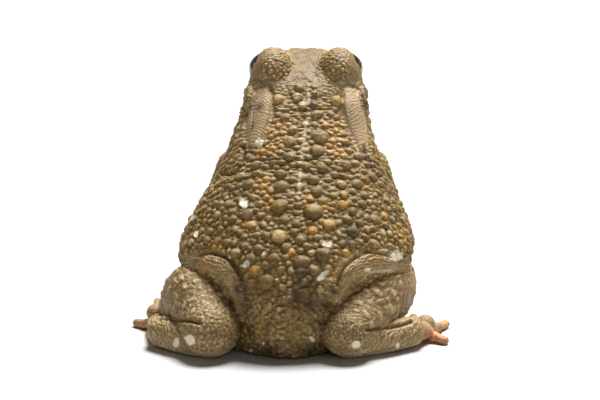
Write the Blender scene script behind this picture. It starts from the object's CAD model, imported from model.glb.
"""A life-size square-marked toad that sits up on its haunches, seen from behind and a little above.

Named sizes are in millimetres, in a design frame whose y = 0 is the rump and z = 0 the floor.
The skin is built there in one piece, warts and all, and then moved onto the frame.
"""

import math
from itertools import product
from types import SimpleNamespace

import bmesh
import bpy
import numpy as np
from mathutils import Matrix, Vector
from mathutils.bvhtree import BVHTree
from mathutils.kdtree import KDTree


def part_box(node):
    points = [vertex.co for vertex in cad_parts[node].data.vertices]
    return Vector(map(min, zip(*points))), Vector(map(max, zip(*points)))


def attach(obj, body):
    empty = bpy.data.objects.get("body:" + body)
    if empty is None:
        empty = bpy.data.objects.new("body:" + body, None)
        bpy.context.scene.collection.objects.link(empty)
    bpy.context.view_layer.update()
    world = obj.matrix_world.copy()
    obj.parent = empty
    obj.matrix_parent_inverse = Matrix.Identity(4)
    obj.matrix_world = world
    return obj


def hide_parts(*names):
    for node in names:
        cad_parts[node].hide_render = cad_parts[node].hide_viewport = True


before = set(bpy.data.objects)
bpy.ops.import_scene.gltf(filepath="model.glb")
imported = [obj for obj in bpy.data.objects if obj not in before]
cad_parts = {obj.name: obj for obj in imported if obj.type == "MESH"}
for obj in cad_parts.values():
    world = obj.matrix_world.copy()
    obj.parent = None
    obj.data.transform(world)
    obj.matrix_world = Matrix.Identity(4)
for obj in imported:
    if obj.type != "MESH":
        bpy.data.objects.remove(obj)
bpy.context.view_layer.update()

MM = 0.001
SEED = 11

# The body's driving sizes, the same as the solids have
TRUNK_WIDTH = 72.0
HEAD_WIDTH = 39.6
HEAD_PITCH = math.radians(18)
HEAD_AT = Vector((1.9, 62.0, 71.8))
SNOUT = 19.6
EYE_RADIUS = 5.6
EYE_OUT = 12.4
EYE_UP = 5.9
LID_RADIUS = 8.8
GLAND_WIDTH = 9.2
FINGER_RADIUS = 1.7
TOE_RADIUS = 1.6
MOUTH_UP = -2.2
MOUTH_SLOPE = 0.085
TRUNK_SQUARENESS = 2.25
HEAD_SQUARENESS = 2.3
LIP_RADIUS = 0.95
WEB_UP = 1.35
KNOB_RADII = (3.1, 3.2, 2.9)

# Places in the head's own frame: along and up, or along, out and up
OPENING_AT = (1.3, EYE_OUT + 6.1, 5.4)
OPENING_RADII = (4.1, 5.2, 4.3)
OPENING_TILT = math.radians(4)
RIM_RADII = (4.3, 4.1)
NOSTRIL_AT = (16.2, 3.8)
DRUM_AT = (-9.6, -0.4)
DRUM_RADII = (3.1, 3.5)
BROW = ((-9.5, 11.0, 4.4, 3.2), (-2.0, 9.0, 5.8, 3.4), (7.0, 8.0, 5.3, 2.7), (14.0, 4.6, 4.0, 1.9))
GLAND_FRONT = (-10.0, 13.6, 5.0)
GAZE = (2.6, 10.0, 1.2)

# The gland's back end in the design frame, for a body without its drift to the right
GLAND_BACK = (17.1, 36.5, 54.0)
BODY_DRIFT = 3.5

# The camera: elevation, distance to the rump's foot, focal length in pixels, height of its axis
ELEVATION = math.radians(14)
DISTANCE = 600.0
FOCAL = 2000.0
AXIS_UP = 48.0
PICTURE = (600, 400)

# Millimetres to a pixel at the rump
PIXEL = 0.3

# Fineness of the skin
CORE_VOXEL = 0.8
CORE_ROUNDS = 12
SKIN_VOXEL = 0.27
SKIN_ROUNDS = 4

# Trunk rings from the floor to the nape: back (y, z), belly (y, z), share of the width, drift in x,
# and how much the ring narrows towards the back, where the legs fold against it
TRUNK = (
    ((1.8, -1.0), (42.0, -1.0), 0.62, -4.0, 0.34),
    ((-0.8, 5.0), (49.0, 3.5), 0.74, -3.8, 0.38),
    ((-1.6, 12.0), (54.0, 10.0), 0.83, -3.2, 0.38),
    ((0.4, 20.0), (57.5, 18.0), 0.95, -2.0, 0.26),
    ((4.3, 27.5), (59.5, 26.0), 1.01, -1.0, 0.12),
    ((10.0, 35.0), (60.8, 33.0), 0.94, -0.2, 0.08),
    ((18.0, 43.5), (61.8, 40.0), 0.83, 0.2, 0.02),
    ((27.5, 53.0), (62.8, 46.0), 0.7, 0.6, 0.0),
    ((36.5, 62.0), (63.8, 50.5), 0.625, 0.8, 0.0),
    ((44.5, 70.0), (65.3, 54.5), 0.565, 1.3, 0.0),
    ((51.0, 75.0), (67.5, 58.5), 0.52, 1.7, 0.0),
)

# Head rings from the nape to the snout: along, share of the width, top, bottom
HEAD = (
    (-17.0, 0.88, 2.5, -8.0),
    (-13.0, 0.98, 5.8, -10.2),
    (-8.0, 0.975, 7.5, -11.3),
    (-2.0, 0.91, 7.9, -11.4),
    (4.0, 0.82, 7.8, -10.9),
    (9.5, 0.705, 7.0, -9.9),
    (13.8, 0.585, 5.9, -8.9),
    (17.0, 0.44, 4.7, -7.6),
    (18.9, 0.29, 3.2, -6.0),
    (19.6, 0.14, 1.5, -4.1),
)

# The lower lid in the head's own frame, from its front corner: along, out, up
LOWER_LID = (
    (6.0, 13.4, 4.4),
    (3.2, 15.5, 1.7),
    (-0.5, 16.2, 0.9),
    (-4.2, 16.0, 1.8),
    (-6.6, 14.8, 4.6),
)

# The parotoid gland from its front: share of its length, share of its width, thickness
GLAND = ((0.06, 0.74, 1.6), (0.32, 1.0, 2.1), (0.6, 0.96, 2.1), (0.88, 0.6, 1.5))

# Limb joints on each side, as the photo's uneven seat has them
RIGHT = {
    "side": 1,
    "shoulder": (22.0, 51.5, 47.0),
    "elbow": (28.5, 49.0, 29.0),
    "wrist": (25.5, 61.5, 6.5),
    "hip": (8.0, 18.0, 16.5),
    "knee": (28.9, 41.0, 14.2),
    "shin": (26.8, 28.0, 13.4),
    "calf": (22.6, 19.5, 14.0),
    "heel": (14.4, 3.6, 7.8),
    "ankle": (33.8, 13.6, 4.6),
    "ball": (37.2, 19.5, 3.2),
    "knob": (38.9, 22.5, 4.2),
}
LEFT = {
    "side": -1,
    "shoulder": (-20.2, 51.5, 47.0),
    "elbow": (-27.5, 48.5, 29.0),
    "wrist": (-24.0, 61.5, 6.5),
    "hip": (-15.5, 18.0, 16.5),
    "knee": (-35.4, 39.5, 9.9),
    "shin": (-34.6, 27.2, 9.6),
    "calf": (-31.0, 19.0, 13.4),
    "heel": (-26.8, 3.6, 7.8),
    "ankle": (-42.2, 13.0, 4.8),
    "ball": (-43.4, 27.0, 3.2),
    "knob": (-45.2, 31.0, 5.2),
}

# Digits: bearing outward from straight ahead in degrees, length, and how far the root sits out
FINGERS = ((-88, 10.0, -1.6), (-52, 11.5, -1.2), (-22, 15.0, 0.2), (12, 11.0, 1.6))
TOES_RIGHT = ((-38, 9.0, -2.8), (-20, 13.0, -1.8), (-2, 19.0, -0.4), (30, 14.5, 1.4), (125, 7.6, 1.0))
TOES_LEFT = ((-36, 9.0, -2.8), (-20, 14.0, -1.8), (-8, 20.0, -0.6), (5, 29.0, 0.6), (50, 9.6, 0.8))

# A digit's thickness along it, with its knuckles: share of the length, share of the root's radius
KNUCKLES = ((0.3, 1.12), (0.46, 0.92), (0.6, 1.05), (0.73, 0.84), (0.85, 0.96), (0.94, 0.82), (1.0, 0.88))

# Radii along each limb, from its root; a pair gives the radius across and the thickness
UPPER_ARM = (6.4, 5.9, 4.9)
FOREARM = (4.8, 5.3, 4.1, 3.5)
THIGH = (7.6, 9.6, 7.5)
SHANK = ((8.0, 8.0), (9.0, 10.0), (10.2, 10.6), (8.4, 7.6))
TARSUS = ((5.6, 5.2), (5.1, 5.0), (4.5, 4.5))
INSTEP = ((3.8, 3.7), (4.2, 3.3), (4.6, 2.7))


def spline(rows, per_span):
    """Rows of numbers through a Catmull-Rom spline, per_span steps to each span."""
    out = []
    for i in range(len(rows) - 1):
        before = rows[max(i - 1, 0)]
        a, b = rows[i], rows[i + 1]
        after = rows[min(i + 2, len(rows) - 1)]
        for k in range(per_span):
            t = k / per_span
            out.append([spline_value(*four, t) for four in zip(before, a, b, after)])
    out.append(list(rows[-1]))
    return out


def spline_value(p0, p1, p2, p3, t):
    square = 2 * p0 - 5 * p1 + 4 * p2 - p3
    cube = 3 * p1 - p0 - 3 * p2 + p3
    return 0.5 * (2 * p1 + (p2 - p0) * t + square * t**2 + cube * t**3)


def oval(angle, squareness):
    """Cosine and sine of a superellipse."""
    c, s = math.cos(angle), math.sin(angle)
    power = 2 / squareness
    return math.copysign(abs(c) ** power, c), math.copysign(abs(s) ** power, s)


def mesh_object(name, rings):
    """A closed object through rings of points, each end closed by one face."""
    bm = bmesh.new()
    rows = [[bm.verts.new(p * MM) for p in ring] for ring in rings]
    count = len(rows[0])
    for low, high in zip(rows, rows[1:]):
        for i in range(count):
            j = (i + 1) % count
            bm.faces.new((low[i], low[j], high[j], high[i]))
    bm.faces.new(list(reversed(rows[0])))
    bm.faces.new(rows[-1])
    bmesh.ops.recalc_face_normals(bm, faces=bm.faces)
    return linked(name, bm)


def linked(name, bm):
    mesh = bpy.data.meshes.new(name)
    bm.to_mesh(mesh)
    bm.free()
    obj = bpy.data.objects.new(name, mesh)
    bpy.context.scene.collection.objects.link(obj)
    return obj


def trunk_shape():
    rows = [(*back, *belly, *others) for back, belly, *others in TRUNK]
    rings = []
    for back_y, back_z, belly_y, belly_z, share, drift, taper in spline(rows, 8):
        back, belly = Vector((drift, back_y, back_z)), Vector((drift, belly_y, belly_z))
        middle, half = (back + belly) / 2, (back - belly) / 2
        ring = []
        for k in range(96):
            c, s = oval(2 * math.pi * k / 96, TRUNK_SQUARENESS)
            behind = max(0, s)
            width = TRUNK_WIDTH / 2 * share * (1 - taper * behind**2 * (3 - 2 * behind))
            ring.append(middle + Vector((width * c, 0, 0)) + half * s)
        rings.append(ring)
    return mesh_object("trunk_shape", rings)


def head_point(along, out, up):
    """A point of the head's own frame: along to the snout, out to the right, up."""
    forward = Vector((0, math.cos(HEAD_PITCH), math.sin(HEAD_PITCH)))
    upward = Vector((0, -math.sin(HEAD_PITCH), math.cos(HEAD_PITCH)))
    return HEAD_AT + forward * along + Vector((out, 0, 0)) + upward * up


def head_shape():
    rings = []
    for along, share, top, bottom in spline(HEAD, 8):
        ring = []
        for k in range(80):
            c, s = oval(2 * math.pi * k / 80, HEAD_SQUARENESS)
            up = s * top if s > 0 else -s * bottom
            ring.append(head_point(along, HEAD_WIDTH / 2 * share * c, up))
        rings.append(ring)
    return mesh_object("head_shape", rings)


def tube(name, stops, sides=28, steps=8, reference=Vector((0, 0, 1))):
    """A limb through stops of (x, y, z, radius across, radius along the reference), with round ends."""
    rows = spline(stops, steps)
    centres = [Vector(row[:3]) for row in rows]
    rings = []
    for i, row in enumerate(rows):
        ahead = centres[min(i + 1, len(rows) - 1)] - centres[max(i - 1, 0)]
        forward = ahead.normalized()
        across = forward.cross(reference).normalized()
        upward = across.cross(forward)
        at_ends = (-1,) if i == 0 else (1,) if i == len(rows) - 1 else ()
        ring = [(0.0, 1.0)]
        if at_ends:
            ring = [(math.sin(a), math.cos(a)) for a in map(math.radians, (0, 15, 30, 45, 60, 74, 85))]
        if at_ends == (-1,):
            ring.reverse()
        for shift, narrow in ring:
            end = centres[i] + forward * shift * min(row[3], row[4]) * (at_ends[0] if at_ends else 0)
            rings.append([
                end + across * row[3] * narrow * math.cos(a) + upward * row[4] * narrow * math.sin(a)
                for a in (2 * math.pi * k / sides for k in range(sides))
            ])
    return mesh_object(name, rings)


def ellipsoid(name, centre, radii, turn=None, segments=40, rings=24):
    bm = bmesh.new()
    bmesh.ops.create_uvsphere(bm, u_segments=segments, v_segments=rings, radius=1)
    stretch = Matrix.Diagonal((*(r * MM for r in radii), 1))
    matrix = Matrix.Translation(Vector(centre) * MM) @ (turn or Matrix.Identity(4)) @ stretch
    bmesh.ops.transform(bm, matrix=matrix, verts=bm.verts)
    return linked(name, bm)


def evaluate(obj):
    """Applies the modifiers of obj."""
    bpy.context.view_layer.update()
    graph = bpy.context.evaluated_depsgraph_get()
    mesh = bpy.data.meshes.new_from_object(obj.evaluated_get(graph))
    obj.modifiers.clear()
    obj.data = mesh
    return obj


def merged(name, pieces):
    """All pieces in one mesh, still overlapping. The pieces are removed."""
    bm = bmesh.new()
    for piece in pieces:
        bm.from_mesh(piece.data)
        bpy.data.objects.remove(piece, do_unlink=True)
    return linked(name, bm)


def blend(a, b, share):
    return tuple(p + (q - p) * share for p, q in zip(a, b))


def stop(point, across, thick=None):
    return (*point, across, across if thick is None else thick)


def name_of(side):
    return "right" if side > 0 else "left"


def lids(side):
    """The domed upper lid and the socket's rim round one eye."""
    turn = Matrix.Rotation(HEAD_PITCH, 4, "X")
    dome = ellipsoid("dome", head_point(-1.0, side * 10.6, 5.4), (6.5, LID_RADIUS, 8.0), turn)
    brow = tube("brow", [stop(head_point(along, side * out, up), wide) for along, out, up, wide in BROW])
    cheek = ellipsoid("cheek", head_point(-1, side * 12.0, 0.2), (4.8, 9.0, 5.2), turn)
    lower = [stop(head_point(along, side * out, up), 1.3) for along, out, up in LOWER_LID]
    return [dome, brow, cheek, tube("lower_lid", lower)]


def gland(side, skin):
    """The parotoid gland, a long low bean on the skin from behind the eye to the shoulder."""
    front = head_point(GLAND_FRONT[0], side * GLAND_FRONT[1], GLAND_FRONT[2])
    back = Vector((BODY_DRIFT + side * GLAND_BACK[0], *GLAND_BACK[1:]))
    rows = []
    for share, wide, thick in GLAND:
        centre, normal = skin.find_nearest(front.lerp(back, share) * MM)[:2]
        rows.append((*(centre / MM - normal * 0.3), GLAND_WIDTH / 2 * wide, thick))
    return tube("gland", rows, reference=Vector((side * 0.55, -0.5, 0.65)))


def lip_path(level_shift, out_shift, per_span):
    """Points of the head's own frame along one side of the lips, from the corner to near the snout."""
    half = HEAD_WIDTH / 2
    path = []
    for along, share, _, bottom in spline(HEAD, per_span):
        if along > -11:
            level = MOUTH_UP - MOUTH_SLOPE * (19 - along) + level_shift
            height = min(0.98, level / bottom) if level < 0 else 0
            out = half * share * (1 - height**HEAD_SQUARENESS) ** (1 / HEAD_SQUARENESS)
            path.append((along, out + out_shift, level))
    return path


def lip(side, level_shift):
    """The rounded rim above or below the mouth, on one side."""
    points = [head_point(a, side * o, u) for a, o, u in lip_path(level_shift, -0.55, 6)]
    tip = head_point(SNOUT - 0.4, 0, MOUTH_UP + level_shift)
    return tube("lip", [stop(p, LIP_RADIUS) for p in (*points, tip)], steps=1)


def digits(name, root, side, table, thick):
    """Tapered digits that fan out from a palm at root, each with a rounded tip on the floor."""
    pieces = []
    for bearing, length, out in table:
        angle = math.radians(bearing)
        way = Vector((side * math.sin(angle), math.cos(angle), 0))
        start = Vector(root) + Vector((side * out, 0, 0))
        rows = [(*start, thick * 1.35, thick * 1.25)]
        for share, wide in KNUCKLES:
            height = thick * 0.74 + 1.9 * (1 - share) ** 1.4
            rows.append((*(start + way * length * share).xy, height, thick * wide, thick * wide * 0.95))
        pieces.append(tube(name, rows, sides=20, steps=5))
    return pieces


def web(root, side, table, reach):
    """A thin pad between the roots of the digits."""
    pieces = []
    for (first, long_a, _), (second, long_b, _) in zip(table, table[1:]):
        angle = math.radians((first + second) / 2)
        length = min(long_a, long_b) * reach
        way = Vector((side * math.sin(angle), math.cos(angle), 0))
        centre = Vector(root) + way * length * 0.5
        centre.z = WEB_UP
        turn = Matrix.Rotation(-side * angle, 4, "Z")
        pieces.append(ellipsoid("web", centre, (2.0, length * 0.62, 0.75), turn))
    return pieces


def hand(limb):
    side = limb["side"]
    x, y, z = limb["wrist"]
    palm_at = (x - side * 1.2, y + 4.6, 2.6)
    palm = ellipsoid("palm", palm_at, (4.6, 5.0, 2.9))
    wrist = tube("wrist", [stop((x, y, z - 1.0), 3.4), stop((x - side * 0.6, y + 3.0, 3.4), 3.3)])
    return [palm, wrist, *digits("finger", palm_at, side, FINGERS, FINGER_RADIUS)]


def segment(places, radii):
    """One limb segment through its places, with a radius or a pair of radii at each."""
    pairs = [each if isinstance(each, tuple) else (each,) for each in radii]
    return tube("limb", [stop(place, *pair) for place, pair in zip(places, pairs)])


def thigh(limb):
    (x, y, z), knee = blend(limb["hip"], limb["knee"], 0.5), limb["knee"]
    places = (limb["hip"], (x, y, z + 1.6), (knee[0], knee[1], knee[2] + 0.6))
    return [segment(places, THIGH)]


def shank(limb):
    x, y, z = limb["knee"]
    places = ((x, y, z - 2.2), limb["shin"], limb["calf"], limb["heel"])
    return [segment(places, SHANK)]


def tarsus(limb):
    heel, ankle = limb["heel"], limb["ankle"]
    x, y, _ = blend(heel, ankle, 0.5)
    places = ((heel[0], heel[1] + 0.5, 4.6), (x, y - 0.8, 4.5), ankle)
    return [segment(places, TARSUS)]


def foot(limb):
    side = limb["side"]
    table = TOES_RIGHT if side > 0 else TOES_LEFT
    ankle, ball = limb["ankle"], limb["ball"]
    instep = segment((ankle, blend(ankle, ball, 0.5), ball), INSTEP)
    toes = digits("toe", ball, side, table, TOE_RADIUS)
    knob = ellipsoid("knob", limb["knob"], KNOB_RADII)
    return [instep, knob, *toes, *web(ball, side, table[:4], 0.55)]


def upper_arm(limb):
    shoulder, elbow = limb["shoulder"], limb["elbow"]
    return [segment((shoulder, blend(shoulder, elbow, 0.5), elbow), UPPER_ARM)]


def forearm(limb):
    elbow, wrist = limb["elbow"], limb["wrist"]
    return [segment((elbow, blend(elbow, wrist, 0.35), blend(elbow, wrist, 0.75), wrist), FOREARM)]


def tree(obj):
    bm = bmesh.new()
    bm.from_mesh(obj.data)
    found = BVHTree.FromBMesh(bm)
    bm.free()
    return found


def eye_opening(side):
    """An almond cutter that bares the eye to the side."""
    along, out, up = OPENING_AT
    turn = Matrix.Rotation(HEAD_PITCH + OPENING_TILT, 4, "X")
    return ellipsoid("opening", head_point(along, side * out, up), OPENING_RADII, turn)


# What the photo shows on the back, each place in the picture's pixels

# Large warts: across, down, width, and tint (0 grey-brown, 1 orange-brown, 2 pale, -1 dark)
LANDMARKS = (
    (300, 89, 11, 0), (316, 94, 10, 0), (297, 98, 12, 2), (278, 100, 13, 1), (337, 101, 14, 1),
    (302, 106, 11, 2), (313, 104, 11, -1), (317, 114, 12, 0), (330, 114, 9, 0), (285, 117, 10, 0),
    (298, 116, 7, 0), (295, 122, 8, 0), (314, 124, 8, 0), (326, 126, 9, 1), (337, 124, 7, 1),
    (293, 130, 11, 0), (290, 141, 13, 0), (320, 137, 17, 0), (317, 151, 15, 0), (289, 157, 12, 0),
    (256, 165, 12, 0), (272, 163, 9, 0), (306, 166, 9, 0), (322, 168, 12, 0), (346, 165, 11, 0),
    (281, 174, 13, 0), (281, 186, 14, 0), (313, 180, 13, 0), (316, 192, 12, 0), (341, 184, 12, 2),
    (357, 184, 12, 0), (372, 178, 12, 0), (248, 184, 12, 0), (343, 195, 11, 2), (267, 198, 8, 0),
    (278, 197, 8, 0), (263, 187, 9, 1), (266, 180, 7, 1), (262, 152, 7, 1), (273, 149, 7, 1),
    (270, 131, 7, 1), (279, 126, 7, 1), (336, 131, 7, 1), (333, 141, 7, 1), (340, 151, 8, 1),
    (343, 157, 7, 1), (365, 195, 10, 0), (279, 207, 17, 0), (260, 204, 9, 0), (298, 206, 8, 0),
    (314, 212, 19, 0), (342, 205, 11, 1), (362, 204, 10, 0), (248, 214, 12, 0), (268, 219, 9, 0),
    (284, 220, 10, 0), (297, 224, 9, 0), (296, 213, 7, 0), (233, 220, 10, 0), (240, 233, 8, 0),
    (236, 229, 8, 2), (263, 225, 8, 0), (312, 231, 10, 1), (329, 225, 13, 2), (338, 223, 9, 0),
    (352, 212, 9, 0), (353, 232, 13, 0), (367, 218, 9, 0), (385, 225, 9, 0), (373, 229, 8, 0),
    (280, 237, 18, 2), (295, 232, 9, 0), (266, 237, 9, 0), (244, 237, 8, 0), (300, 240, 11, 0),
    (318, 238, 9, 0), (227, 243, 9, 0), (244, 247, 9, 0), (285, 247, 11, 0), (306, 246, 9, 0),
    (258, 249, 10, 0), (352, 244, 9, 0), (322, 254, 15, 0), (291, 253, 9, 1), (310, 253, 8, 2),
    (335, 252, 7, 0), (273, 260, 13, 0), (301, 262, 16, 0), (285, 258, 8, 0), (345, 253, 9, 1),
    (315, 271, 12, 0), (301, 272, 12, -1), (266, 266, 9, 0), (281, 270, 8, 0), (267, 282, 15, 0),
    (328, 281, 11, 0), (252, 283, 9, 0), (303, 294, 14, 0), (290, 291, 8, 0), (268, 294, 9, 0),
    (285, 300, 9, 0), (268, 307, 9, 0), (290, 312, 8, 0),
)

# How light each tint is
LANDMARK_TONES = {0: -0.45, 1: 0.1, 2: 0.7, -1: -1.3}

# White flecks: across, down, half width, half height, tilt in degrees
FLECKS = (
    (244, 203, 4.5, 6.0, 10), (327, 244, 6.0, 3.5, 15), (397, 256, 7.0, 5.0, -20), (247, 264, 3.6, 3.4, 0),
    (322, 276, 7.0, 3.0, 40), (265, 253, 2.2, 1.8, 0), (229, 257, 2.6, 1.4, 0), (368, 270, 4.0, 2.0, 10),
    (197, 234, 2.6, 4.4, 0), (193, 219, 4.4, 4.8, 0), (259, 142, 5.0, 5.0, 60), (190, 340, 6.0, 5.0, 0),
    (176, 343, 3.0, 5.5, -10), (356, 344, 4.6, 4.0, 20), (397, 345, 2.6, 3.2, 0), (311, 338, 2.2, 4.0, 50),
    (252, 350, 1.6, 1.6, 0), (264, 343, 1.4, 1.6, 0), (277, 279, 2.0, 1.0, 20), (289, 297, 2.4, 1.2, 25),
)

# Orange-brown patches and dark patches: across, down, radius
ORANGE = (
    (277, 126, 9), (272, 134, 8), (283, 137, 6), (272, 150, 8), (262, 152, 7), (337, 125, 8), (331, 135, 7),
    (333, 147, 7), (341, 154, 8), (263, 184, 9), (267, 196, 6), (325, 207, 7), (343, 205, 8), (268, 207, 6),
    (312, 231, 7), (326, 227, 8), (371, 143, 5), (375, 152, 5), (367, 188, 6), (400, 232, 8), (403, 245, 7),
    (291, 253, 6), (345, 253, 7), (375, 262, 9), (255, 271, 8), (278, 273, 5), (215, 247, 8), (246, 225, 6),
    (331, 275, 7), (262, 325, 6), (205, 268, 9), (340, 270, 6), (310, 198, 7), (280, 99, 6),
)
DARK = (
    (312, 104, 5), (305, 113, 4), (303, 272, 9), (308, 284, 9), (300, 298, 10), (310, 303, 9),
    (350, 230, 7), (345, 243, 6), (245, 305, 9), (328, 305, 9), (238, 290, 6), (334, 292, 6), (365, 156, 6),
    (258, 106, 6), (250, 125, 5), (246, 150, 7), (230, 305, 8), (320, 322, 8), (250, 330, 8),
    (310, 350, 14), (270, 350, 14),
)

# Where the orange undersides of the toes show: across, down, radius
SOLES = ((442, 321, 9), (438, 335, 9), (135, 327, 6))

# The pale line down the middle of the back
MIDLINE = ((308, 84), (309, 97), (309, 110), (306, 124), (304, 140), (302, 158), (300, 176), (299, 194))

# Each thigh between the flank and the shank, from the rump outward
THIGH_FOLDS = {
    1: ((336, 292), (342, 279), (351, 269), (363, 263), (379, 261), (393, 263), (404, 268)),
    -1: ((240, 299), (233, 284), (225, 273), (214, 266), (203, 263), (194, 265), (187, 269)),
}
FOLD_RADIUS = 4.4
FOLD_DEPTH = 1.4

# Long soft lumps of the legs: across, down, length, width, tilt in degrees
STREAKS = (
    (187, 275, 24, 5, 12), (179, 282, 17, 5, 38), (197, 281, 12, 5, 15), (186, 289, 10, 5, 22),
    (199, 289, 8, 4, 15), (203, 296, 10, 4, 15), (169, 291, 12, 5, 60), (165, 301, 10, 4, 85),
    (176, 303, 16, 8, 82), (184, 306, 12, 6, 76), (162, 310, 12, 3, 88), (168, 312, 11, 3, 88),
    (191, 300, 10, 5, 50), (193, 311, 9, 5, 66), (219, 295, 10, 5, -12), (211, 291, 8, 5, 8),
    (226, 302, 8, 5, -42), (207, 304, 7, 4, 30), (228, 274, 22, 4, -65), (218, 267, 13, 4, -36),
    (397, 312, 22, 7, 82), (390, 308, 14, 7, -70), (377, 292, 14, 7, -42), (380, 316, 15, 7, -52),
    (366, 315, 15, 6, -52), (366, 291, 10, 6, -18), (353, 298, 9, 6, -20), (346, 305, 8, 5, -20),
    (360, 303, 11, 6, -50), (379, 283, 11, 5, -28), (393, 294, 12, 6, -84), (403, 308, 18, 4, 84),
    (408, 298, 18, 3, 80), (371, 303, 11, 6, -48), (387, 323, 8, 5, -60), (356, 311, 9, 5, -40),
    (371, 325, 10, 5, -28), (363, 253, 26, 7, 4), (346, 259, 17, 7, 26), (352, 276, 16, 4, 52),
    (345, 282, 14, 3, 58),
)

# Creases of the skin: depth, half width, places
CREASES = (
    (1.0, 0.7, ((199, 254), (208, 252), (219, 254), (229, 259), (236, 268), (243, 283), (247, 299))),
    (1.0, 0.7, ((338, 285), (341, 273), (348, 263), (358, 255), (368, 251), (379, 252), (392, 256))),
    (0.7, 0.5, ((248, 92), (245, 108), (241, 124), (238, 138))),
    (0.5, 0.45, ((253, 96), (251, 112), (249, 128), (246, 142))),
    (0.5, 0.45, ((364, 96), (367, 112), (370, 128), (374, 142))),
    (0.9, 0.7, ((221, 174), (230, 174), (238, 169), (243, 158), (243, 146))),
    (0.9, 0.7, ((387, 176), (379, 177), (372, 170), (368, 158), (366, 146))),
    (1.1, 0.6, ((160, 319), (170, 320), (180, 320), (190, 321), (199, 323))),
    (1.1, 0.6, ((411, 322), (402, 325), (392, 327), (380, 328), (367, 330))),
    (0.3, 0.4, ((284, 112), (296, 111), (306, 112), (318, 110), (330, 109))),
    (0.3, 0.4, ((258, 160), (276, 160), (296, 161), (316, 160), (338, 160))),
    (0.3, 0.4, ((246, 172), (268, 170), (296, 171), (322, 173), (350, 172))),
    (0.3, 0.4, ((280, 166), (300, 168), (318, 177), (340, 178))),
)

# Sizes of the scattered warts in the order they are placed, and how often each finds its place
CLASSES = (
    (1.65, 0.002), (1.35, 0.008), (1.08, 0.025), (0.86, 0.05),
    (0.66, 0.08), (0.5, 0.1), (0.38, 0.16),
)
PACKING = 0.92


class Skin:
    """The skin's points, normals and neighbours as arrays, in millimetres of the design frame."""

    def __init__(self, obj):
        mesh = obj.data
        self.count = len(mesh.vertices)
        self.co = points_of(obj)
        self.normal = np.empty(self.count * 3)
        mesh.vertex_normals.foreach_get("vector", self.normal)
        self.normal = self.normal.reshape(-1, 3)
        self.edges = np.empty(len(mesh.edges) * 2, dtype=np.int64)
        mesh.edges.foreach_get("vertices", self.edges)
        self.edges = self.edges.reshape(-1, 2)
        self.degree = np.bincount(self.edges.ravel(), minlength=self.count)
        self.kd = KDTree(self.count)
        for i, point in enumerate(self.co):
            self.kd.insert(point, i)
        self.kd.balance()
        self.surface = tree(obj)
        self.pixel = pixels_of(self.co)
        self.bent = self.co + 0.34 * wobble(self.co, 1.5, 41) + 0.15 * wobble(self.co, 0.65, 51)

    def soft(self, values, rounds):
        """Values averaged with their neighbours a number of times."""
        a, b = self.edges.T
        for _ in range(rounds):
            total = np.bincount(a, weights=values[b], minlength=self.count)
            total += np.bincount(b, weights=values[a], minlength=self.count)
            values = (values + total / self.degree) / 2
        return values

    def near(self, point, reach):
        """Indices of the points within reach of a point."""
        found = self.kd.find_range(point, reach)
        return np.fromiter((each[1] for each in found), dtype=np.int64, count=len(found))

    def seen_at(self, across, down):
        """The point and the normal that the photo shows at a pixel, or None."""
        hit = self.surface.ray_cast(CAMERA_AT * MM, pixel_way(across, down))
        return (hit[0] / MM, hit[1]) if hit[0] else None


# The camera's own axes and its place in the design frame
ACROSS = Vector((1, 0, 0))
UPWARD = Vector((0, math.sin(ELEVATION), math.cos(ELEVATION)))
AHEAD = Vector((0, math.cos(ELEVATION), -math.sin(ELEVATION)))
CAMERA_AT = UPWARD * AXIS_UP - AHEAD * DISTANCE


def pixel_way(across, down):
    """The direction in which the camera sees a pixel."""
    side, rise = (across - PICTURE[0] / 2) / FOCAL, (PICTURE[1] / 2 - down) / FOCAL
    return (AHEAD + ACROSS * side + UPWARD * rise).normalized()


def pixels_of(points):
    """Where the camera sees each point, in the picture's pixels."""
    offset = points - np.array(CAMERA_AT)
    depth = offset @ np.array(AHEAD)
    across = PICTURE[0] / 2 + FOCAL * (offset @ np.array(ACROSS)) / depth
    down = PICTURE[1] / 2 - FOCAL * (offset @ np.array(UPWARD)) / depth
    return np.stack((across, down), axis=1)


def grown_together(name, pieces, voxel, rounds):
    """Pieces in one closed surface: voxel remesh, then smoothing."""
    obj = merged(name, pieces)
    remesh = obj.modifiers.new("Fuse", "REMESH")
    remesh.mode = "VOXEL"
    remesh.voxel_size = voxel * MM
    smooth = obj.modifiers.new("Soften", "SMOOTH")
    smooth.factor = 0.5
    smooth.iterations = rounds
    return evaluate(obj)


def cut(obj, cutter):
    boolean = obj.modifiers.new("Cut", "BOOLEAN")
    boolean.operation = "DIFFERENCE"
    boolean.solver = "MANIFOLD"
    boolean.object = cutter
    evaluate(obj)
    bpy.data.objects.remove(cutter, do_unlink=True)


def thigh_fold(side, surface):
    """The thigh where it shows between the flank and the shank, sunk in the trunk."""
    rows = []
    for across, down in THIGH_FOLDS[side]:
        point, normal = surface.ray_cast(CAMERA_AT * MM, pixel_way(across, down))[:2]
        rows.append(stop(point / MM - normal * (FOLD_RADIUS - FOLD_DEPTH), FOLD_RADIUS))
    return tube("thigh", rows, steps=4)


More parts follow.
